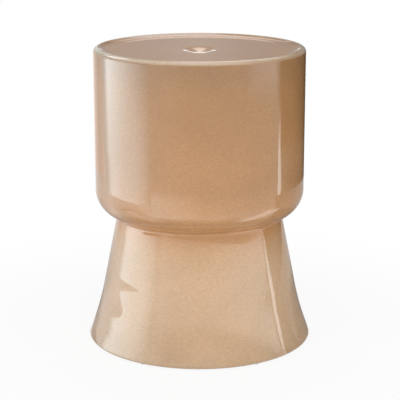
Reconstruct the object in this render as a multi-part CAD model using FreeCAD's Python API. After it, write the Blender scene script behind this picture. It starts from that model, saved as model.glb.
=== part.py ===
import FreeCAD, Part
import math
import os

# A mouth-blown garden stool of cased glass: a drum seat on a waisted, flaring base, open underneath.
# Three layers of glass lie one inside the other: a clear casing, a caramel colour layer and an opal lining.
# The ground rim of the base stands on clear bumpers, each held by a disc of adhesive.
# Millimetres, +Z up. The origin is on the stool's axis, in the plane that the bumpers stand on.

# Outer form
OVERALL_HEIGHT = 457.0  # from the floor to the crest of the seat's rim
DRUM_DIAMETER = 323.0
DRUM_UNDER_RADIUS = 42.0  # the rounding under the drum
WAIST_DIAMETER = 256.0  # at the crease under the drum, before its fillet
WAIST_HEIGHT = 197.0  # the same crease, above the floor
WAIST_FILLET = 5.0
CONE_HALF_ANGLE = 11.25  # degrees, of the straight stretch under the waist
FLARE_START_HEIGHT = 83.0  # where the straight stretch starts to curve outwards
BASE_DIAMETER = 350.0  # at the ground rim, before its edge is rounded
FOOT_ROUND = 2.0  # outer edge of the ground rim
FOOT_ARRIS = 1.0  # inner edge of the ground rim

# Seat
SEAT_DISH_DEPTH = 4.0  # from the crest of the rim down to the flat of the seat
DISH_FILLET = 25.0  # a wide, soft curve up to the rim
RIM_OUTER_ROUND = 2.5  # of the lining's crest, which the two outer layers then wrap
RIM_INNER_ROUND = 1.5
DIMPLE_DIAMETER = 72.0  # the funnel that the punty leaves in the middle of the seat
DIMPLE_DEPTH = 5.5
DIMPLE_BOWL_RADIUS = 16.0  # at the bottom of the funnel

# Layers of glass
CASING_THICKNESS = 3.0
COLOUR_THICKNESS = 1.5
LINING_THICKNESS = 5.0
SEAT_LINING_THICKNESS = 4.0  # the lining's least thickness, under the dimple
CAVITY_CORNER_RADIUS = 18.0  # inside, where the seat turns down into the drum

# Bumpers
BUMPER_COUNT = 6
BUMPER_DIAMETER = 6.4
BUMPER_HEIGHT = 1.9
BUMPER_EDGE_ROUND = 0.6
ADHESIVE_THICKNESS = 0.2
ADHESIVE_SETBACK = 0.2  # of the adhesive's edge from the bumper's

# Depths of the two fused interfaces and of the inner face, measured from the outer skin
COLOUR_DEPTH = CASING_THICKNESS
LINING_DEPTH = CASING_THICKNESS + COLOUR_THICKNESS
WALL = LINING_DEPTH + LINING_THICKNESS

AXIS_POINT = FreeCAD.Vector(0, 0, 0)
AXIS_DIRECTION = FreeCAD.Vector(0, 0, 1)
SAME_POINT = 1e-7
RIGHT_ANGLE = math.pi / 2
HALF_TURN = math.pi


def at(radius, height):
    """A point of the turned section, at that distance from the axis and height above the floor."""
    return FreeCAD.Vector(radius, 0, height)


def around(centre, radius, angle):
    """The point of a circle in the section's plane, its angle in radians from straight outwards."""
    return centre + radius * FreeCAD.Vector(math.cos(angle), 0, math.sin(angle))


def straight(start, end):
    return Part.LineSegment(start, end).toShape()


def chained(arcs, start=None):
    """Edges along arcs of (centre, radius, first angle, last angle), with straight runs between them."""
    edges = []
    here = start
    for centre, radius, first, last in arcs:
        begin = around(centre, radius, first)
        middle = around(centre, radius, (first + last) / 2)
        end = around(centre, radius, last)
        if here is not None and here.distanceToPoint(begin) > SAME_POINT:
            edges.append(straight(here, begin))
        edges.append(Part.Arc(begin, middle, end).toShape())
        here = end
    return edges


def first_point(edges):
    return edges[0].valueAt(edges[0].FirstParameter)


def last_point(edges):
    return edges[-1].valueAt(edges[-1].LastParameter)


def turned(outer, inner):
    """The solid between two chains of edges, both from the axis to the ground rim, turned about the axis."""
    rim = straight(last_point(outer), last_point(inner))
    middle = straight(first_point(inner), first_point(outer))
    section = Part.Wire(Part.__sortEdges__([*outer, rim, *inner, middle]))
    return Part.Face(section).revolve(AXIS_POINT, AXIS_DIRECTION, 360)


# Levels and main radii
rim_plane = BUMPER_HEIGHT + ADHESIVE_THICKNESS
seat_level = OVERALL_HEIGHT - SEAT_DISH_DEPTH
drum_radius = DRUM_DIAMETER / 2
waist_radius = WAIST_DIAMETER / 2
base_radius = BASE_DIAMETER / 2
cone_angle = math.radians(CONE_HALF_ANGLE)

# Dimple: a bowl about the axis, then a long lip that levels out into the seat
dimple_turn = 2 * math.atan2(DIMPLE_DEPTH, DIMPLE_DIAMETER / 2)
dimple_lip_radius = DIMPLE_DIAMETER / 2 / math.sin(dimple_turn) - DIMPLE_BOWL_RADIUS
dimple_bottom = seat_level - DIMPLE_DEPTH
dimple_bowl_centre = at(0, dimple_bottom + DIMPLE_BOWL_RADIUS)
dimple_lip_centre = at(DIMPLE_DIAMETER / 2, seat_level - dimple_lip_radius)

# Rim of the seat: up the dish fillet, over the crest and down into the drum's side
rim_outer = RIM_OUTER_ROUND + LINING_DEPTH
rim_inner = RIM_INNER_ROUND + LINING_DEPTH
dish_turn = math.acos(1 - SEAT_DISH_DEPTH / (rim_inner + DISH_FILLET))
crest_radius = drum_radius - rim_outer
rim_outer_centre = at(crest_radius, OVERALL_HEIGHT - rim_outer)
rim_inner_centre = at(crest_radius, OVERALL_HEIGHT - rim_inner)
dish_centre = around(rim_inner_centre, rim_inner + DISH_FILLET, RIGHT_ANGLE + dish_turn)

# Straight stretch of the base: a line through the waist's crease, known by its outward normal
crease = at(waist_radius, WAIST_HEIGHT)
cone_normal = around(AXIS_POINT, 1, cone_angle)
cone_downwards = around(AXIS_POINT, 1, cone_angle - RIGHT_ANGLE)

# Rounding under the drum, a circle through the crease and tangent to the drum's side
under_inset = waist_radius - (drum_radius - DRUM_UNDER_RADIUS)
under_rise = math.sqrt(DRUM_UNDER_RADIUS**2 - under_inset**2)
under_centre = at(drum_radius - DRUM_UNDER_RADIUS, WAIST_HEIGHT + under_rise)

# Waist fillet, a circle tangent to that rounding and to the straight stretch
fillet_line = crease + WAIST_FILLET * cone_normal
fillet_reach = DRUM_UNDER_RADIUS + WAIST_FILLET
to_line = fillet_line - under_centre
along = to_line.dot(cone_downwards)
fillet_shift = -along + math.sqrt(along**2 - to_line.dot(to_line) + fillet_reach**2)
fillet_centre = fillet_line + fillet_shift * cone_downwards
under_to_fillet = fillet_centre - under_centre
under_turn = math.atan2(-under_to_fillet.z, under_to_fillet.x)

# Flare, a circle tangent to the straight stretch that reaches the base diameter at the ground rim
flare_start = crease + (WAIST_HEIGHT - FLARE_START_HEIGHT) / math.cos(cone_angle) * cone_downwards
flare_chord = at(base_radius, rim_plane) - flare_start
flare_radius = flare_chord.dot(flare_chord) / (2 * flare_chord.dot(cone_normal))
flare_centre = flare_start + flare_radius * cone_normal


def flare_end(radius, level):
    """Angle at which a circle about the flare's centre comes down to that level."""
    return HALF_TURN + math.asin((flare_centre.z - level) / radius)


def lower_arcs(depth, last):
    """The arcs below the drum's side, that deep in the glass, ending at that angle of the flare."""
    return [
        (under_centre, DRUM_UNDER_RADIUS - depth, 0, -under_turn),
        (fillet_centre, WAIST_FILLET + depth, HALF_TURN - under_turn, HALF_TURN + cone_angle),
        (flare_centre, flare_radius + depth, HALF_TURN + cone_angle, last),
    ]


def upper_arcs(depth):
    """The arcs of the seat and its rim, that deep in the glass."""
    return [
        (dimple_bowl_centre, DIMPLE_BOWL_RADIUS + depth, -RIGHT_ANGLE, dimple_turn - RIGHT_ANGLE),
        (dimple_lip_centre, dimple_lip_radius - depth, RIGHT_ANGLE + dimple_turn, RIGHT_ANGLE),
        (dish_centre, DISH_FILLET + depth, -RIGHT_ANGLE, dish_turn - RIGHT_ANGLE),
        (rim_inner_centre, rim_inner - depth, RIGHT_ANGLE + dish_turn, RIGHT_ANGLE),
        (rim_outer_centre, rim_outer - depth, RIGHT_ANGLE, 0),
    ]


def outer_skin():
    """The outside of the stool, from the middle of the dimple to the rounded edge of the ground rim."""
    round_level = rim_plane + FOOT_ROUND
    last = flare_end(flare_radius + FOOT_ROUND, round_level)
    foot_centre = around(flare_centre, flare_radius + FOOT_ROUND, last)
    foot = (foot_centre, FOOT_ROUND, last - HALF_TURN, -RIGHT_ANGLE)
    return chained([*upper_arcs(0), *lower_arcs(0, last), foot])


def interface(depth):
    """The face where two layers of glass are fused, that deep under the outer skin."""
    last = flare_end(flare_radius + depth, rim_plane)
    return chained([*upper_arcs(depth), *lower_arcs(depth, last)])


def cavity():
    """The inner face of the lining, from the ceiling under the seat to the arris of the ground rim."""
    ceiling = dimple_bottom - LINING_DEPTH - SEAT_LINING_THICKNESS
    corner_centre = at(drum_radius - WALL - CAVITY_CORNER_RADIUS, ceiling - CAVITY_CORNER_RADIUS)
    corner = (corner_centre, CAVITY_CORNER_RADIUS, RIGHT_ANGLE, 0)
    last = flare_end(flare_radius + WALL - FOOT_ARRIS, rim_plane + FOOT_ARRIS)
    arris_centre = around(flare_centre, flare_radius + WALL - FOOT_ARRIS, last)
    arris = (arris_centre, FOOT_ARRIS, last, HALF_TURN + RIGHT_ANGLE)
    return chained([corner, *lower_arcs(WALL, last), arris], start=at(0, ceiling))


def glass_layers():
    skin = outer_skin()
    colour_face = interface(COLOUR_DEPTH)
    lining_face = interface(LINING_DEPTH)
    return {
        "clear_casing": turned(skin, colour_face),
        "colour_layer": turned(colour_face, lining_face),
        "opal_lining": turned(lining_face, cavity()),
    }


def bumper(centre):
    """A clear bumper that stands on the floor, its lower edge rounded."""
    body = Part.makeCylinder(BUMPER_DIAMETER / 2, BUMPER_HEIGHT, centre, AXIS_DIRECTION)
    floor_edges = [edge for edge in body.Edges if edge.BoundBox.ZMax < centre.z + SAME_POINT]
    return body.makeFillet(BUMPER_EDGE_ROUND, floor_edges)


def adhesive(centre):
    """The disc that holds a bumper to the ground rim."""
    radius = BUMPER_DIAMETER / 2 - ADHESIVE_SETBACK
    base = centre + BUMPER_HEIGHT * AXIS_DIRECTION
    return Part.makeCylinder(radius, ADHESIVE_THICKNESS, base, AXIS_DIRECTION)


def feet():
    """Bumpers and adhesive discs, evenly spaced along the middle of the ground rim."""
    land_outside = last_point(outer_skin()).x
    land_inside = last_point(cavity()).x
    land_radius = (land_outside + land_inside) / 2
    pieces = {}
    for number in range(BUMPER_COUNT):
        turn = 2 * math.pi * number / BUMPER_COUNT
        centre = FreeCAD.Vector(land_radius * math.cos(turn), land_radius * math.sin(turn), 0)
        pieces[f"bumper_{number + 1}"] = bumper(centre)
        pieces[f"bumper_adhesive_{number + 1}"] = adhesive(centre)
    return pieces


def main():
    os.makedirs("parts", exist_ok=True)
    for name, shape in {**glass_layers(), **feet()}.items():
        shape.exportStep(f"parts/{name}.step")
        print(f"{name}: {shape.Volume / 1000:.2f} cm3, valid {shape.isValid()}")


main()
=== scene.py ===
import math

import bpy
import numpy as np
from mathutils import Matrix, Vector, noise


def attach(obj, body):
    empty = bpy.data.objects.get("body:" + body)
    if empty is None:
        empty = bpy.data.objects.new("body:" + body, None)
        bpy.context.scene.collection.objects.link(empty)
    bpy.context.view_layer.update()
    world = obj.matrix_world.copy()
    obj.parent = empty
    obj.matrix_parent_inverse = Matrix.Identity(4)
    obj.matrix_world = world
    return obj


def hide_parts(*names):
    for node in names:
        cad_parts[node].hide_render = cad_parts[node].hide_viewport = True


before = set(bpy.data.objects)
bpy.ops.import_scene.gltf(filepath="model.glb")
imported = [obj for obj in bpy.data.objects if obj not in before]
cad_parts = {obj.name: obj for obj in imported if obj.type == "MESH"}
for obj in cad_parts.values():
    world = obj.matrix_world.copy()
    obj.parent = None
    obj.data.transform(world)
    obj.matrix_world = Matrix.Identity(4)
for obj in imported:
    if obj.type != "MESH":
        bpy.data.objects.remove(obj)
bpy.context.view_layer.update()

# Glass garden stool, in metres and in the frame of the CAD model: +Z up, floor at zero, -Y to the viewer.
# The glass is turned again here, finely enough for clean reflections, with the slight waves of hot glass.

MM = 0.001
QUARTER = math.pi / 2
HALF = math.pi

# Outer form, as in the CAD model
OVERALL_HEIGHT = 457 * MM
RIM_PLANE = 2.1 * MM  # the ground rim, on top of bumper and adhesive
DRUM_RADIUS = 161.5 * MM
DRUM_UNDER_RADIUS = 42 * MM
WAIST_RADIUS = 128 * MM
WAIST_HEIGHT = 197 * MM
WAIST_FILLET = 5 * MM
CONE_ANGLE = math.radians(11.25)
FLARE_START_HEIGHT = 83 * MM
BASE_RADIUS = 175 * MM
FOOT_ROUND = 2 * MM
FOOT_ARRIS = 1 * MM

# Seat
SEAT_DISH_DEPTH = 4 * MM
DISH_FILLET = 25 * MM
RIM_OUTER = 7 * MM
RIM_INNER = 6 * MM
DIMPLE_RADIUS = 36 * MM
DIMPLE_DEPTH = 5.5 * MM
DIMPLE_BOWL_RADIUS = 16 * MM
DIMPLE_SAG = 0.5 * MM  # of the seat around the dimple, at the front
DIMPLE_SAG_REACH = (32 * MM, 50 * MM)
DIMPLE_SAG_TURNS = (10, 60)  # degrees to each side, over which it fades

# Layers, measured inwards from the outer skin
LINING_DEPTH = 4.5 * MM
WALL = 9.5 * MM
SEAT_LINING_THICKNESS = 4 * MM
CAVITY_CORNER_RADIUS = 18 * MM

# Mesh of the turned glass
TURN_STEPS = 256
ARC_STEP = math.radians(4)
HIDDEN_ARC_STEP = math.radians(8)
LEAST_ARC_STEPS = 3
SKIN_RUN = 3.5 * MM
HIDDEN_RUN = 12 * MM
CAVITY_RUN = 8 * MM
SAME_POINT = 1e-9
SHARP_ANGLE = math.radians(50)

# Waves left in the skin by the blowing, always inwards so that the glass stays within its size
WAVE_DEPTH = 0.25 * MM
WAVE_LENGTH = 90 * MM
WAVE_STRETCH = 0.6  # along the height
FINE_WAVE_LENGTH = 0.4 * WAVE_LENGTH
FINE_WAVE_STRETCH = 0.4
BROAD_SHARE = 0.45
FINE_SHARE = 0.12
RIPPLE_DEPTH = 0.10 * MM  # finer, on the base alone
RIPPLE_LENGTH = 26 * MM
RIPPLE_START = (10 * MM, 30 * MM)  # below the waist
SINKING_START = (FOOT_ROUND, 5 * FOOT_ROUND)  # above the ground rim

# Dents in the base: azimuth from the viewer to the right, height, depth, half width, reach up and down
DENTS = (
    (-47, 97 * MM, 0.85 * MM, 13, 7 * MM, 18 * MM),
    (-57, 53 * MM, 1.4 * MM, 7.5, 14 * MM, 9 * MM),
    (-66, 28 * MM, 1.2 * MM, 7, 17 * MM, 7 * MM),
    (52, 66 * MM, 0.12 * MM, 2.5, 3.5 * MM, 3.5 * MM),
    (49, 113 * MM, 0.07 * MM, 2.5, 4 * MM, 4 * MM),
)

# A tool mark under the waist: azimuths and heights of its edge, above which the glass leans in more
MARK_AZIMUTHS = (-60, -35, -16, 0, 16, 29, 38, 47, 56)
MARK_HEIGHTS = np.array((184, 188, 189, 186.5, 182, 177, 178, 184, 194)) * MM
MARK_LEANS = np.radians((6, 6.5, 5, 4, 4, 4, 4, 4, 4))
MARK_EDGE = 0.8 * MM
MARK_TOP = (194 * MM, 206 * MM)
MARK_RIGHT_END = (56, 66)  # degrees, over which it fades
MARK_LEFT_END = (48, 56)
MARK_RUN = 1.2 * MM  # the finer mesh around it

# Colour of the glass: a caramel, and by share of the height how strong it is and how much white is in it.
# The paler, milkier base is the glass's own; the rest is partly painted light: the white fades out under
# the waist as painted shade below the drum, the crease is lightened against its shade, and the drum darkens
# towards its top as painted shade.
CARAMEL = (0.452, 0.238, 0.102)
MILK = (1.0, 1.2, 1.05)
GLASS_TINTS_AND_PAINTED_LIGHT = (
    (0.004, 0.84, 0.125),
    (0.016, 1.00, 0.124),
    (0.06, 1.07, 0.122),
    (0.15, 1.135, 0.120),
    (0.25, 1.165, 0.125),
    (0.31, 1.21, 0.110),
    (0.36, 1.275, 0.080),
    (0.385, 1.30, 0.050),
    (0.41, 1.33, 0.010),
    (0.425, 1.42, 0.0),
    (0.437, 1.42, 0.0),
    (0.455, 1.28, 0.0),
    (0.50, 1.32, 0.0),
    (0.58, 1.16, 0.0),
    (0.75, 1.10, 0.0),
    (0.90, 0.985, 0.0),
    (0.965, 0.84, 0.01),
)
# The seat's tint is painted light: its strength is set for how brightly the lamps light the top.
SEAT_PAINTED_LIGHT = (1.28, 0.0)
# The rim's paler, milky tint is a painted highlight, for the light the rim's clear glass catches.
RIM_PAINTED_HIGHLIGHT = (0.85, 0.11)
UPPER_HALF = (0.30, 0.31)  # heights above which the seat can be
SEAT_EDGE = (DRUM_RADIUS - 26 * MM, DRUM_RADIUS - 9 * MM)
RIM_EDGE = (DRUM_RADIUS - 11 * MM, DRUM_RADIUS - 7 * MM)
RIM_HEIGHTS = (OVERALL_HEIGHT - 7 * MM, OVERALL_HEIGHT - 4.5 * MM)

# Finish of the glass: sizes of the clouds and streaks, and how much they darken and lighten it
CLOUD_SCALE = 14
CLOUD_RANGE = (0.3, 0.7)
CLOUD_SHADES = (0.96, 1.04)
GRAIN_SCALE = 210
GRAIN_STRETCH = (1, 1, 2.6)
GRAIN_ROUGHNESS = 0.6
GRAIN_RANGE = (0.25, 0.75)
GRAIN_SHADES = (0.91, 1.09)
NOISE_DETAIL = 3
GLASS_ROUGHNESS = 0.02
GLASS_IOR = 1.6

# Finish of the pieces under the glass
OPAL_CLOUD_SCALE = 18
OPAL_DARKER = (0.78, 0.68, 0.55)
OPAL_PALER = (0.86, 0.78, 0.67)
OPAL_ROUGHNESS = 0.12
OPAL_IOR = 1.5
SOFT_GRAIN_SCALE = 900
BUMPER_DARKER = (0.84, 0.84, 0.83)
BUMPER_PALER = (0.94, 0.94, 0.93)
ADHESIVE_DARKER = (0.80, 0.80, 0.77)
ADHESIVE_PALER = (0.90, 0.90, 0.87)

# Studio
WHITE = (1.0, 1.0, 1.0)
WARM = (1.14, 1.0, 0.91)
COOL = (0.88, 0.98, 1.0)
TENT_RADIUS = 4
TENT_LIFT = 0.01
TENT_STEPS = 181
CARD_COLUMNS_PER_DEGREE = 2
CARD_ROW = 0.01
FLOOR_ROW = 0.025
POOL_STEPS = (41, 13)
POOL_EDGE_LEVEL = 0.95
POOL_SOFTNESS = 0.4
LIT_FLOOR_HEIGHT = 0.0015  # the lit sheets lie just above the floor, each above the one before
FLAG_FLOOR_HEIGHT = 0.002
POOL_HEIGHT = 0.003
LAMP_TARGET = (0, 0, 0.25)
LAMPS = (
    ("top_lamp", (0.2, -0.8, 2.6), 1.6, 7),
    ("front_lamp", (0.3, -2.6, 0.8), 1.4, 18),
    ("left_lamp", (-1.8, -1.5, 1.9), 1.2, 16),
    ("right_lamp", (1.8, -1.5, 1.9), 1.2, 9),
    ("back_lamp", (0.0, 2.2, 1.6), 1.4, 12),
)
FLOOR_REACH = 9
FLOOR_GREY = (0.8, 0.8, 0.8, 1)
FLOOR_FADE = (0.2, 0.7)  # distances from the stool over which its shadow ends
FLOOR_WHITENESS = (0.9, 1.0)
WORLD_FILL = 0.4
WORLD_SEEN = 1.0

# Camera, at the photograph's angle
CAMERA_PLACE = (0, -2.067, 0.747)
CAMERA_DOWN = 14.41  # degrees below level
CAMERA_LENS = 123.1
CAMERA_SENSOR = 36
CAMERA_SHIFT = 0.0013


# Small helpers
def step(value, low, high):
    """0 up to low, 1 from high on, and smooth between."""
    share = min(1, max(0, (value - low) / (high - low)))
    return share * share * (3 - 2 * share)


def mix(first, second, share):
    """From first to second, by share."""
    return first + (second - first) * share


def unit(angle):
    """A direction in the turned section, its angle from straight outwards."""
    return np.array([math.cos(angle), math.sin(angle)])


def around(centre, radius, angle):
    """The point of a circle in the turned section."""
    return centre + radius * unit(angle)


def placed(name, data):
    """A new object in the scene."""
    made = bpy.data.objects.new(name, data)
    bpy.context.scene.collection.objects.link(made)
    return made


# Turned section
class Section:
    """The stool's section as circles of (radius from the axis, height), all tangent to each other."""

    def __init__(self):
        seat = OVERALL_HEIGHT - SEAT_DISH_DEPTH
        self.dimple_turn = 2 * math.atan2(DIMPLE_DEPTH, DIMPLE_RADIUS)
        self.dimple_bottom = seat - DIMPLE_DEPTH
        self.lip_radius = DIMPLE_RADIUS / math.sin(self.dimple_turn) - DIMPLE_BOWL_RADIUS
        self.bowl = np.array([0, self.dimple_bottom + DIMPLE_BOWL_RADIUS])
        self.lip = np.array([DIMPLE_RADIUS, seat - self.lip_radius])
        crest = DRUM_RADIUS - RIM_OUTER
        self.dish_turn = math.acos(1 - SEAT_DISH_DEPTH / (RIM_INNER + DISH_FILLET))
        self.rim_outer = np.array([crest, OVERALL_HEIGHT - RIM_OUTER])
        self.rim_inner = np.array([crest, OVERALL_HEIGHT - RIM_INNER])
        self.dish = around(self.rim_inner, RIM_INNER + DISH_FILLET, QUARTER + self.dish_turn)
        self.crease = np.array([WAIST_RADIUS, WAIST_HEIGHT])
        self.place_waist()
        self.place_flare()

    def place_waist(self):
        """The rounding under the drum, and the fillet between it and the straight stretch of the base."""
        inset = WAIST_RADIUS - (DRUM_RADIUS - DRUM_UNDER_RADIUS)
        rise = math.sqrt(DRUM_UNDER_RADIUS**2 - inset**2)
        self.under = np.array([DRUM_RADIUS - DRUM_UNDER_RADIUS, WAIST_HEIGHT + rise])
        downwards = unit(CONE_ANGLE - QUARTER)
        line = self.crease + WAIST_FILLET * unit(CONE_ANGLE)
        gap = line - self.under
        along = gap @ downwards
        reach = DRUM_UNDER_RADIUS + WAIST_FILLET
        shift = -along + math.sqrt(along**2 - gap @ gap + reach**2)
        self.fillet = line + shift * downwards
        to_fillet = self.fillet - self.under
        self.under_turn = math.atan2(-to_fillet[1], to_fillet[0])

    def place_flare(self):
        """The curve that carries the straight stretch out to the base's full width."""
        run = (WAIST_HEIGHT - FLARE_START_HEIGHT) / math.cos(CONE_ANGLE)
        start = self.crease + run * unit(CONE_ANGLE - QUARTER)
        chord = np.array([BASE_RADIUS, RIM_PLANE]) - start
        self.flare_radius = chord @ chord / (2 * chord @ unit(CONE_ANGLE))
        self.flare = start + self.flare_radius * unit(CONE_ANGLE)

    def flare_end(self, radius, level):
        """The angle at which a circle about the flare's centre comes down to a level."""
        return HALF + math.asin((self.flare[1] - level) / radius)

    def upper(self, depth):
        """Arcs of dimple, seat and rim, that deep under the skin."""
        return [
            (self.bowl, DIMPLE_BOWL_RADIUS + depth, -QUARTER, self.dimple_turn - QUARTER),
            (self.lip, self.lip_radius - depth, QUARTER + self.dimple_turn, QUARTER),
            (self.dish, DISH_FILLET + depth, -QUARTER, self.dish_turn - QUARTER),
            (self.rim_inner, RIM_INNER - depth, QUARTER + self.dish_turn, QUARTER),
            (self.rim_outer, RIM_OUTER - depth, QUARTER, 0),
        ]

    def lower(self, depth, last):
        """Arcs of drum underside, waist and flare, that deep under the skin."""
        return [
            (self.under, DRUM_UNDER_RADIUS - depth, 0, -self.under_turn),
            (self.fillet, WAIST_FILLET + depth, HALF - self.under_turn, HALF + CONE_ANGLE),
            (self.flare, self.flare_radius + depth, HALF + CONE_ANGLE, last),
        ]

    def skin(self):
        """The outside, from the middle of the dimple to the rounded edge of the ground rim."""
        radius = self.flare_radius + FOOT_ROUND
        last = self.flare_end(radius, RIM_PLANE + FOOT_ROUND)
        foot = (around(self.flare, radius, last), FOOT_ROUND, last - HALF, -QUARTER)
        points = chained([*self.upper(0), *self.lower(0, last), foot], SKIN_RUN)
        return closer(points, min(MARK_HEIGHTS) - 2 * SKIN_RUN, WAIST_HEIGHT, MARK_RUN)

    def interface(self, depth):
        """A face where two layers are fused, that deep under the skin."""
        last = self.flare_end(self.flare_radius + depth, RIM_PLANE)
        return chained([*self.upper(depth), *self.lower(depth, last)], HIDDEN_RUN, HIDDEN_ARC_STEP)

    def cavity(self):
        """The inner face, from the ceiling under the seat to the arris of the ground rim."""
        ceiling = self.dimple_bottom - LINING_DEPTH - SEAT_LINING_THICKNESS
        across = DRUM_RADIUS - WALL - CAVITY_CORNER_RADIUS
        corner_centre = np.array([across, ceiling - CAVITY_CORNER_RADIUS])
        corner = (corner_centre, CAVITY_CORNER_RADIUS, QUARTER, 0)
        radius = self.flare_radius + WALL - FOOT_ARRIS
        last = self.flare_end(radius, RIM_PLANE + FOOT_ARRIS)
        arris = (around(self.flare, radius, last), FOOT_ARRIS, last, HALF + QUARTER)
        arcs = [corner, *self.lower(WALL, last), arris]
        return chained(arcs, CAVITY_RUN, start=np.array([0, ceiling]))


def straight(start, end, run):
    """Points after start, along a straight stretch to end, at most a run apart."""
    count = max(1, math.ceil(np.linalg.norm(end - start) / run))
    return [start + (end - start) * number / count for number in range(1, count + 1)]


def chained(arcs, run, arc_step=ARC_STEP, start=None):
    """Points along arcs of (centre, radius, first angle, last angle) and the stretches between them."""
    points = [] if start is None else [start]
    for centre, radius, first, last in arcs:
        begin = around(centre, radius, first)
        if points and np.linalg.norm(begin - points[-1]) > SAME_POINT:
            points += straight(points[-1], begin, run)
        elif not points:
            points.append(begin)
        by_turn = abs(last - first) / arc_step
        by_length = abs(last - first) * radius / run
        count = max(LEAST_ARC_STEPS, math.ceil(max(by_turn, by_length)))
        turns = [first + (last - first) * number / count for number in range(1, count + 1)]
        points += [around(centre, radius, turn) for turn in turns]
    return points


def closer(points, low, high, run):
    """The same points, with more between those from one height to another."""
    made = points[:1]
    for point in points[1:]:
        fine = low < point[1] < high
        made += straight(made[-1], point, run) if fine else [point]
    return made


# Unevenness of the blown glass
def blowing_waves(place):
    """Broad and fine waves, all over the skin."""
    x, y, height = place
    broad = noise.noise(Vector((x, y, WAVE_STRETCH * height)) / WAVE_LENGTH)
    fine = noise.noise(Vector((x, y, FINE_WAVE_STRETCH * height)) / FINE_WAVE_LENGTH)
    return WAVE_DEPTH * min(1, max(0, 0.5 + BROAD_SHARE * broad + FINE_SHARE * fine))


def dimple_sag(place, turn):
    """The seat's sag around the front of the dimple."""
    sag = 1 - step(math.hypot(place[0], place[1]), *DIMPLE_SAG_REACH)
    return DIMPLE_SAG * sag * (1 - step(abs(turn), *DIMPLE_SAG_TURNS))


def tool_mark(height, turn):
    """The lean of the glass above the tool mark's edge, faded out at its top and ends."""
    rise = min(height, MARK_TOP[0]) - np.interp(turn, MARK_AZIMUTHS, MARK_HEIGHTS)
    if rise > MARK_EDGE:
        lean = rise - MARK_EDGE / 2
    else:
        lean = max(0, rise)**2 / (2 * MARK_EDGE)
    lean *= math.tan(np.interp(turn, MARK_AZIMUTHS, MARK_LEANS))
    lean *= 1 - step(height, *MARK_TOP)
    return lean * (1 - step(turn, *MARK_RIGHT_END)) * (1 - step(-turn, *MARK_LEFT_END))


def base_dents(place, turn):
    """Ripples and dents of the base."""
    height = place[2]
    ripple = noise.noise(Vector(place) / RIPPLE_LENGTH)
    depth = RIPPLE_DEPTH * (0.5 + 0.5 * ripple) * step(WAIST_HEIGHT - height, *RIPPLE_START)
    for azimuth, middle, most, width, up, down in DENTS:
        reach = up if height > middle else down
        sideways = (turn - azimuth) / width
        upwards = (height - middle) / reach
        depth += most * math.exp(-sideways**2 / 2 - upwards**2 / 2)
    return depth


def sunk(place):
    """How far the hot glass has sunk inwards at a place of the skin."""
    height = place[2]
    turn = math.degrees(math.atan2(place[0], -place[1]))
    depth = blowing_waves(place)
    if height > OVERALL_HEIGHT / 2:
        depth += dimple_sag(place, turn)
    if height < MARK_TOP[1]:
        depth += tool_mark(height, turn)
    if height < WAIST_HEIGHT:
        depth += base_dents(place, turn)
    return depth * step(height - RIM_PLANE, *SINKING_START)


# Turned pieces
def outward_normals(section):
    """The direction out of the glass at each point of a section."""
    tangent = np.gradient(section, axis=0)
    normal = np.stack([-tangent[:, 1], tangent[:, 0]], axis=1)
    return normal / np.linalg.norm(normal, axis=1)[:, None]


def bands(rings):
    """Faces between rings of points, with triangles where a ring is one point."""
    faces = []
    for first, second in zip(rings, rings[1:]):
        for number in range(TURN_STEPS):
            after = (number + 1) % TURN_STEPS
            corners = [first[number], second[number], second[after], first[after]]
            faces.append(tuple(dict.fromkeys(corners)))
    return faces


def turned(name, outer, inner, waved=False):
    """A closed mesh between two chains of points from the axis to the ground rim, turned about the axis."""
    loop = [*outer, *straight(outer[-1], inner[-1], SKIN_RUN), *inner[-2::-1]]
    normals = outward_normals(np.array(loop))
    ends = {0, len(loop) - 1}
    verts = []
    rings = []
    for index, (radius, height) in enumerate(loop):
        if index in ends:
            rings.append([len(verts)] * TURN_STEPS)
            verts.append((0, 0, height))
            continue
        ring = []
        for number in range(TURN_STEPS):
            turn = 2 * math.pi * number / TURN_STEPS
            place = np.array([radius * math.cos(turn), radius * math.sin(turn), height])
            if waved and index < len(outer):
                flat, steep = normals[index]
                normal = np.array([flat * math.cos(turn), flat * math.sin(turn), steep])
                place = place - sunk(place) * normal
            ring.append(len(verts))
            verts.append(tuple(place))
        rings.append(ring)
    mesh = bpy.data.meshes.new(name)
    mesh.from_pydata(verts, [], bands(rings))
    mesh.validate()
    mesh.shade_smooth()
    mesh.set_sharp_from_angle(angle=SHARP_ANGLE)
    piece = placed(name, mesh)
    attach(piece, "root")
    return piece


# Materials
def new_material(name):
    """A material with its node tree and its shader."""
    material = bpy.data.materials.new(name)
    material.use_nodes = True
    tree = material.node_tree
    return material, tree, tree.nodes["Principled BSDF"]


def add(tree, kind, inputs, **settings):
    """A new node with its settings, each input set to a value or linked to another node's output."""
    made = tree.nodes.new(kind)
    for key, value in settings.items():
        setattr(made, key, value)
    for key, value in inputs.items():
        if isinstance(value, bpy.types.NodeSocket):
            tree.links.new(value, made.inputs[key])
        else:
            made.inputs[key].default_value = value
    return made


def ramp(tree, value, low, high, to_low=0.0, to_high=1.0):
    """A smooth ramp from to_low to to_high as the value goes from low to high."""
    inputs = {"Value": value, "From Min": low, "From Max": high, "To Min": to_low, "To Max": to_high}
    return add(tree, "ShaderNodeMapRange", inputs, interpolation_type="SMOOTHSTEP").outputs[0]


def maths(tree, operation, first, second):
    """One operation on two numbers."""
    return add(tree, "ShaderNodeMath", {0: first, 1: second}, operation=operation).outputs[0]


def tinted(strength, milk):
    """The caramel at a strength, with that much white in it."""
    return (*[strength * caramel + milk * white for caramel, white in zip(CARAMEL, MILK)], 1)


def over(tree, below, above, share):
    """A colour laid over another, by share."""
    return add(tree, "ShaderNodeMix", {0: share, 6: below, 7: above}, data_type="RGBA").outputs[2]


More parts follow.
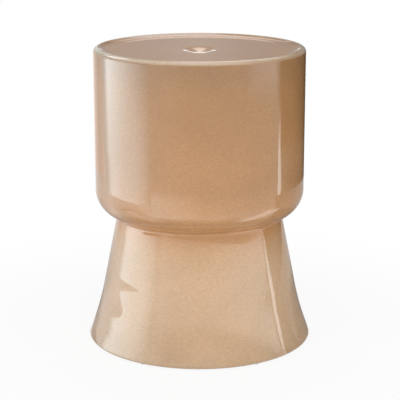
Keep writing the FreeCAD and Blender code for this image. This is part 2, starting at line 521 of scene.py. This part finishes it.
def clouded(tree, scale, darker, paler):
    """A colour that drifts between two in clouds."""
    clouds = add(tree, "ShaderNodeTexNoise", {"Scale": scale}).outputs[0]
    tone = add(tree, "ShaderNodeValToRGB", {0: clouds})
    tone.color_ramp.elements[0].color = (*darker, 1)
    tone.color_ramp.elements[1].color = (*paler, 1)
    return tone.outputs[0]


def height_tints_and_painted_light(tree, height):
    """The tint of the glass by its height, with painted light: painted shade under the waist and towards
    the drum's top, and a lightened crease.
    """
    share = maths(tree, "DIVIDE", height, OVERALL_HEIGHT)
    tints = add(tree, "ShaderNodeValToRGB", {0: share})
    stops = tints.color_ramp.elements
    while len(stops) < len(GLASS_TINTS_AND_PAINTED_LIGHT):
        stops.new(0.5)
    for stop, (position, strength, milk) in zip(stops, GLASS_TINTS_AND_PAINTED_LIGHT):
        stop.position = position
        stop.color = tinted(strength, milk)
    return tints.outputs[0]


def mottling(tree, place):
    """Soft clouds and fine drawn streaks, as a factor on the colour."""
    cloud_inputs = {"Vector": place, "Scale": CLOUD_SCALE, "Detail": NOISE_DETAIL}
    clouds = add(tree, "ShaderNodeTexNoise", cloud_inputs).outputs[0]
    drawn = add(tree, "ShaderNodeMapping", {0: place, "Scale": GRAIN_STRETCH}).outputs[0]
    grain_inputs = {
        "Vector": drawn,
        "Scale": GRAIN_SCALE,
        "Detail": NOISE_DETAIL,
        "Roughness": GRAIN_ROUGHNESS,
    }
    grain = add(tree, "ShaderNodeTexNoise", grain_inputs).outputs[0]
    cloud_shade = ramp(tree, clouds, *CLOUD_RANGE, *CLOUD_SHADES)
    grain_shade = ramp(tree, grain, *GRAIN_RANGE, *GRAIN_SHADES)
    return maths(tree, "MULTIPLY", cloud_shade, grain_shade)


def caramel_glass():
    """Caramel melted into the glass, paler where the base was blown out, with fine streaks and clouds, and
    painted light: shade by height, a seat tint set for the lamps, and a paler rim as a painted highlight.
    """
    material, tree, shader = new_material("caramel_glass")
    place = add(tree, "ShaderNodeTexCoord", {}).outputs["Object"]
    height = add(tree, "ShaderNodeSeparateXYZ", {0: place}).outputs["Z"]
    level = add(tree, "ShaderNodeVectorMath", {0: place, 1: (1, 1, 0)}, operation="MULTIPLY").outputs[0]
    radius = add(tree, "ShaderNodeVectorMath", {0: level}, operation="LENGTH").outputs["Value"]
    # Tint by height, partly painted shade under the waist and towards the drum's top.
    colour = height_tints_and_painted_light(tree, height)
    # Seat tint laid over the top: painted light for how the lamps light the seat.
    on_top = ramp(tree, height, *UPPER_HALF)
    inside = ramp(tree, radius, *SEAT_EDGE, 1, 0)
    colour = over(tree, colour, tinted(*SEAT_PAINTED_LIGHT), maths(tree, "MULTIPLY", on_top, inside))
    # Paler rim laid over: a painted highlight for the light the rim's clear glass catches.
    outside = ramp(tree, radius, *RIM_EDGE)
    at_rim = ramp(tree, height, *RIM_HEIGHTS)
    colour = over(tree, colour, tinted(*RIM_PAINTED_HIGHLIGHT), maths(tree, "MULTIPLY", outside, at_rim))
    shade = mottling(tree, place)
    mottled = add(tree, "ShaderNodeVectorMath", {0: colour, "Scale": shade}, operation="SCALE").outputs[0]
    tree.links.new(mottled, shader.inputs["Base Color"])
    shader.inputs["Roughness"].default_value = GLASS_ROUGHNESS
    shader.inputs["IOR"].default_value = GLASS_IOR
    return material


def opal_glass():
    """Milky lining, faintly clouded."""
    material, tree, shader = new_material("opal_glass")
    milk = clouded(tree, OPAL_CLOUD_SCALE, OPAL_DARKER, OPAL_PALER)
    tree.links.new(milk, shader.inputs["Base Color"])
    shader.inputs["Roughness"].default_value = OPAL_ROUGHNESS
    shader.inputs["IOR"].default_value = OPAL_IOR
    return material


def soft_clear(name, darker, paler, roughness, clear):
    """Clear elastomer or adhesive, a little uneven."""
    material, tree, shader = new_material(name)
    tone = clouded(tree, SOFT_GRAIN_SCALE, darker, paler)
    tree.links.new(tone, shader.inputs["Base Color"])
    shader.inputs["Roughness"].default_value = roughness
    shader.inputs["Transmission Weight"].default_value = clear
    return material


def dress(piece, material):
    """Gives a piece its material."""
    piece.data.materials.clear()
    piece.data.materials.append(material)


# The stool
def build_glass():
    """Casing and colour layer as one fused skin, and the lining inside it."""
    section = Section()
    lining_face = section.interface(LINING_DEPTH)
    skin = turned("cased_glass", section.skin(), lining_face, waved=True)
    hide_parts("clear_casing", "colour_layer")
    dress(skin, caramel_glass())
    lining = turned("opal_lining_glass", lining_face, section.cavity())
    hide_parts("opal_lining")
    dress(lining, opal_glass())


def dress_bumpers():
    """Materials of the CAD model's bumpers and adhesive discs."""
    bumper = soft_clear("clear_elastomer", BUMPER_DARKER, BUMPER_PALER, roughness=0.25, clear=0.9)
    adhesive = soft_clear("adhesive", ADHESIVE_DARKER, ADHESIVE_PALER, roughness=0.5, clear=0.6)
    for name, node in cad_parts.items():
        if name.startswith("bumper_adhesive"):
            dress(node, adhesive)
        elif name.startswith("bumper"):
            dress(node, bumper)


# Sheets for the glass to reflect
def glow_material(name, tint):
    """Light of a tint, as strong as the mesh's glow attribute."""
    material = bpy.data.materials.new(name)
    material.use_nodes = True
    tree = material.node_tree
    tree.nodes.clear()
    level = add(tree, "ShaderNodeAttribute", {}, attribute_name="glow").outputs["Fac"]
    light = add(tree, "ShaderNodeEmission", {"Color": (*tint, 1), "Strength": level}).outputs[0]
    add(tree, "ShaderNodeOutputMaterial", {"Surface": light})
    return material


def glowing(name, columns, rows, place, glow, tint=WHITE):
    """A sheet that only reflections see: a grid over 0 to 1 both ways, placed and lit by two functions."""
    across = [column / (columns - 1) for column in range(columns)]
    upwards = [row / (rows - 1) for row in range(rows)]
    verts = [place(u, v) for v in upwards for u in across]
    faces = []
    for row in range(rows - 1):
        for column in range(columns - 1):
            corner = row * columns + column
            faces.append((corner, corner + 1, corner + columns + 1, corner + columns))
    mesh = bpy.data.meshes.new(name)
    mesh.from_pydata(verts, [], faces)
    levels = [glow(u, v) for v in upwards for u in across]
    mesh.attributes.new("glow", "FLOAT", "POINT").data.foreach_set("value", levels)
    mesh.materials.append(glow_material(name, tint))
    piece = placed(name, mesh)
    piece.visible_camera = False
    piece.visible_diffuse = False
    piece.visible_shadow = False
    piece.visible_transmission = False


def outwards(azimuth, radius, height):
    """A place by its azimuth in degrees, from the viewer's side to the right."""
    turn = math.radians(azimuth)
    return (radius * math.sin(turn), -radius * math.cos(turn), height)


def card(name, azimuths, heights, radius, glow, tint=WHITE):
    """An upright card that curves around the stool, as bright as glow(azimuth, height)."""
    columns = round(CARD_COLUMNS_PER_DEGREE * (azimuths[1] - azimuths[0])) + 1
    rows = round((heights[1] - heights[0]) / CARD_ROW) + 1

    def place(u, v):
        return outwards(mix(*azimuths, u), radius, mix(*heights, v))

    def level(u, v):
        return glow(mix(*azimuths, u), mix(*heights, v))

    glowing(name, columns, rows, place, level, tint)


def floor_sheet(name, azimuths, radii, height, glow):
    """A lit ring of floor around the stool, as bright as glow(azimuth, radius)."""
    columns = round(azimuths[1] - azimuths[0]) + 1
    rows = round((radii[1] - radii[0]) / FLOOR_ROW) + 1

    def place(u, v):
        return outwards(mix(*azimuths, u), mix(*radii, v), height)

    def level(u, v):
        return glow(mix(*azimuths, u), mix(*radii, v))

    glowing(name, columns, rows, place, level)


def floor_pool(name, start, end, widths, level):
    """A band of light on the floor from start to end, growing in width, soft at its sides and ends."""
    start = Vector(start)
    along = Vector(end) - start
    side = Vector((along.y, -along.x)).normalized() / 2

    def place(u, v):
        spot = start + along * u + side * mix(*widths, u) * (2 * v - 1)
        return (spot.x, spot.y, POOL_HEIGHT)

    def glow(u, v):
        lengthwise = step(1 - abs(2 * u - 1), 0, POOL_SOFTNESS)
        crosswise = step(1 - abs(2 * v - 1), 0, POOL_SOFTNESS)
        return mix(POOL_EDGE_LEVEL, level, lengthwise * crosswise)

    glowing(name, *POOL_STEPS, place, glow)


def tent():
    """A dome around everything."""

    def place(u, v):
        elevation = math.radians(90 * v)
        height = TENT_LIFT + TENT_RADIUS * math.sin(elevation)
        return outwards(mix(-180, 180, u), TENT_RADIUS * math.cos(elevation), height)

    def glow(u, v):
        return tent_glow(mix(-180, 180, u), 90 * v)

    glowing("tent", TENT_STEPS, TENT_STEPS, place, glow)


# Brightness of the sheets, by azimuth in degrees and by height, radius or elevation
def left_glow(azimuth, height):
    """A tall softbox that stands on the floor, strongest near its far edge, the more so higher up."""
    beyond_edge = 2.0
    in_gap = 0.7
    at_top = 1.2
    edge = np.interp(height, (0, 0.08, 0.10, 0.17, 0.29), (-107.5, -108.8, -110.8, -111.5, -112.8))
    places = (-106, -99, -92, -79, -68, -58, -51)
    low = np.interp(azimuth, places, (4.4, 4.8, 4.9, 4.6, 4.3, 3.2, 1.9))
    high = np.interp(azimuth, places, (5.9, 6.0, 5.9, 4.9, 3.8, 2.6, 1.6))
    level = mix(beyond_edge, mix(low, high, step(height, 0.05, 0.30)), step(azimuth - edge, -6, 6))
    gap_start = np.interp(azimuth, (-100, -68), (0.37, 0.33))
    above = mix(level, at_top, step(height, 0.545, 0.575))
    from_gap = mix(in_gap, above, step(height, 0.46, 0.49))
    return mix(level, from_gap, step(height, gap_start, gap_start + 0.03))


def wall_glow(azimuth, _height):
    """A wall beyond the softbox, lit by it."""
    return np.interp(azimuth, (-172, -142, -134, -127, -121, -111), (0.95, 1.1, 1.05, 1.4, 1.7, 2.3))


def upper_glow(azimuth, height):
    """The top of the softbox, wider than its foot, that the rim of the seat catches."""
    at_foot = 1.2
    places = (-168, -150, -138, -128, -118, -108, -100, -60)
    high = np.interp(azimuth, places, (1.5, 1.5, 2.2, 5.2, 7.6, 6.0, 3.5, 3.0))
    return mix(at_foot, high, step(height, 0.95, 1.02)) * step(height, 0.49, 0.56)


def floor_glow(azimuth, radius):
    """Floor lit by the softbox, with a brighter pool in front, more light far off on the right, and a
    painted shadow of the stool close to it.
    """
    places = (-172, -140, -130, -126, -120, -113, -106, -98, -60, -48, -30, -12)
    near = np.interp(azimuth, places, (0.4, 0.65, 0.8, 1.0, 1.35, 1.65, 2.0, 1.8, 1.4, 1.4, 1.4, 1.4))
    far = np.interp(azimuth, places, (1.0, 1.1, 1.3, 1.4, 1.6, 2.1, 2.4, 2.4, 2.2, 1.5, 1.25, 1.0))
    # Dimmer close to the stool: a painted shadow of the stool on the lit floor.
    near *= mix(0.3, 1, step(radius, 0.22, 0.42))
    pool = np.interp(azimuth, (-66, -55, -44, -29, -13, 2), (0.0, 0.8, 1.4, 1.1, 0.7, 0.2))
    pool *= step(radius, 0.3, 0.42)
    near += pool
    far += pool * (1 - step(radius, 1.12, 1.25))
    far_right = 0.9 * step(azimuth, 45, 65) * step(radius, 2.1, 2.9)
    return mix(near, far, step(radius, 0.4, 1.05)) + far_right


def flag_glow(_azimuth, radius):
    """Floor in the shade of the flag, darkest near the stool."""
    return mix(0.25, 0.55, step(radius, 0.42, 0.6))


def right_glow(azimuth, height):
    """The bright edge of a softbox low down, and beyond it a dark flag."""
    edge = np.interp(height, (0, 0.012, 0.03, 0.10, 0.20), (91.5, 93, 93.3, 91.5, 91.3))
    strip = 0.3 + 3.4 * (1 - step(height, 0.08, 0.22))
    flag = np.interp(azimuth, (88, 92, 98, 106, 115, 150), (0.8, 0.7, 0.45, 0.3, 0.15, 0.05))
    flag *= mix(1, 0.12, step(height, 0.08, 0.13))
    return mix(strip, flag, step(azimuth, edge - 0.5, edge + 0.5))


def tent_front(azimuth, elevation):
    """The front of the tent: bright overhead and low down, dark on the right."""
    places = (-60, -45, -33, 0, 33, 45, 60, 88)
    low = np.interp(azimuth, places, (1.9, 1.9, 1.5, 1.15, 1.5, 1.9, 2.1, 2.1))
    high = np.interp(elevation, (10, 20, 30, 45, 60, 90), (0.65, 0.75, 1.6, 2.5, 3.3, 4.0))
    on_left = step(-azimuth, 30, 50) * (1 - step(-azimuth, 66, 74))
    high += 0.8 * on_left * (1 - step(elevation, 20, 40))
    high *= 1 - 0.45 * step(azimuth, 35, 80) * step(elevation, 14, 22)
    on_right = step(azimuth, 88, 94) * (1 - step(elevation, 20, 50))
    return mix(low, high, step(elevation, 6.5, 12.5)) * (1 - 0.85 * on_right)


def tent_back(azimuth, elevation):
    """The back of the tent: dim low down, bright overhead, and shaded at its sides between."""
    level = np.interp(elevation, (0, 28, 36, 43, 75, 90), (0.45, 0.5, 2.2, 3.0, 3.8, 4.0))
    side = 180 - azimuth if azimuth > 0 else -180 - azimuth
    if elevation < 28:
        level *= np.interp(side, (-5, 0, 5), (0.85, 1.03, 0.72))
    else:
        level *= 1 - 0.6 * step(side, 4, 9) * (1 - step(elevation, 42, 48))
    on_left = step(-azimuth, 90, 110) * (1 - step(-azimuth, 168, 176))
    shaded = on_left * (1 - step(elevation, 60, 75)) * step(elevation, 30, 36)
    return level * (1 - 0.75 * shaded)


def tent_line(azimuth, elevation):
    """A low strip at the very back of the tent."""
    level = mix(0.55, 1.6, step(abs(azimuth), 176.8, 179.4))
    return level * step(abs(azimuth), 168, 174) * (1 - step(elevation, 10.2, 11.4))


def tent_glow(azimuth, elevation):
    """The whole tent, its front and back run together at the sides."""
    front = tent_front(azimuth, elevation)
    back = tent_back(azimuth, elevation)
    return max(mix(front, back, step(abs(azimuth), 110, 150)), tent_line(azimuth, elevation))


# Studio
def build_reflections():
    """A tent, cards and lit floor around the stool, which only its reflections show."""
    tent()
    card("left_card", (-120, -50), (0.0, 0.84), 1.07, left_glow, COOL)
    card("left_wall", (-172, -111), (0.0, 0.5), 1.2, wall_glow, WARM)
    card("upper_left", (-168, -60), (0.5, 1.7), 1.15, upper_glow, COOL)
    card("right_card", (88, 176), (0.0, 0.45), 1.1, right_glow)
    floor_sheet("lit_floor", (-172, 88), (0.19, 3.9), LIT_FLOOR_HEIGHT, floor_glow)
    floor_sheet("floor_flag", (84, 175), (0.18, 1.1), FLAG_FLOOR_HEIGHT, flag_glow)
    floor_pool("left_pool", (-0.16, -0.235), (-0.58, -0.10), (0.08, 0.24), 1.9)
    floor_pool("right_pool", (0.16, -0.235), (0.62, -0.075), (0.08, 0.24), 2.9)


def lamp(name, place, size, energy):
    """A soft lamp turned to the stool, which reflections don't show."""
    data = bpy.data.lights.new(name, "AREA")
    data.energy = energy
    data.size = size
    made = placed(name, data)
    made.location = place
    made.rotation_euler = (Vector(LAMP_TARGET) - made.location).to_track_quat("-Z", "Y").to_euler()
    made.visible_glossy = False


def seen_rays(tree):
    """1 for rays from the camera or through or off glass, 0 for light that falls on things."""
    path = add(tree, "ShaderNodeLightPath", {}).outputs
    either = maths(tree, "MAXIMUM", path["Is Camera Ray"], path["Is Glossy Ray"])
    return maths(tree, "MAXIMUM", either, path["Is Transmission Ray"])


def floor():
    """A pale floor, white where it is seen, that keeps the stool's shadow."""
    corners = [(x * FLOOR_REACH, y * FLOOR_REACH, 0) for x, y in ((-1, -1), (1, -1), (1, 1), (-1, 1))]
    mesh = bpy.data.meshes.new("floor")
    mesh.from_pydata(corners, [], [(0, 1, 2, 3)])
    piece = placed("floor", mesh)
    material, tree, shader = new_material("floor")
    shader.inputs["Base Color"].default_value = FLOOR_GREY
    shader.inputs["Roughness"].default_value = 1
    shader.inputs["Specular IOR Level"].default_value = 0
    place = add(tree, "ShaderNodeTexCoord", {}).outputs["Object"]
    far = add(tree, "ShaderNodeVectorMath", {0: place}, operation="LENGTH").outputs["Value"]
    whiteness = ramp(tree, far, *FLOOR_FADE, *FLOOR_WHITENESS)
    share = maths(tree, "MULTIPLY", seen_rays(tree), whiteness)
    white = add(tree, "ShaderNodeEmission", {}).outputs[0]
    blend = add(tree, "ShaderNodeMixShader", {0: share, 1: shader.outputs[0], 2: white})
    tree.links.new(blend.outputs[0], tree.nodes["Material Output"].inputs["Surface"])
    mesh.materials.append(material)


def surround():
    """A world that is white where it is seen, and a soft fill light elsewhere."""
    world = bpy.data.worlds.new("surround")
    world.use_nodes = True
    tree = world.node_tree
    level = ramp(tree, seen_rays(tree), 0, 1, WORLD_FILL, WORLD_SEEN)
    background = tree.nodes["Background"]
    tree.links.new(level, background.inputs["Strength"])
    background.inputs["Color"].default_value = (*WHITE, 1)
    bpy.context.scene.world = world


def camera():
    """The camera, level from side to side and looking a little down."""
    data = bpy.data.cameras.new("camera")
    data.lens = CAMERA_LENS
    data.sensor_width = CAMERA_SENSOR
    data.shift_x = CAMERA_SHIFT
    made = placed("camera", data)
    made.location = CAMERA_PLACE
    made.rotation_euler = (math.radians(90 - CAMERA_DOWN), 0, 0)
    bpy.context.scene.camera = made


build_glass()
dress_bumpers()
build_reflections()
for lamp_settings in LAMPS:
    lamp(*lamp_settings)
floor()
surround()
camera()
bpy.context.scene.view_settings.view_transform = "Standard"
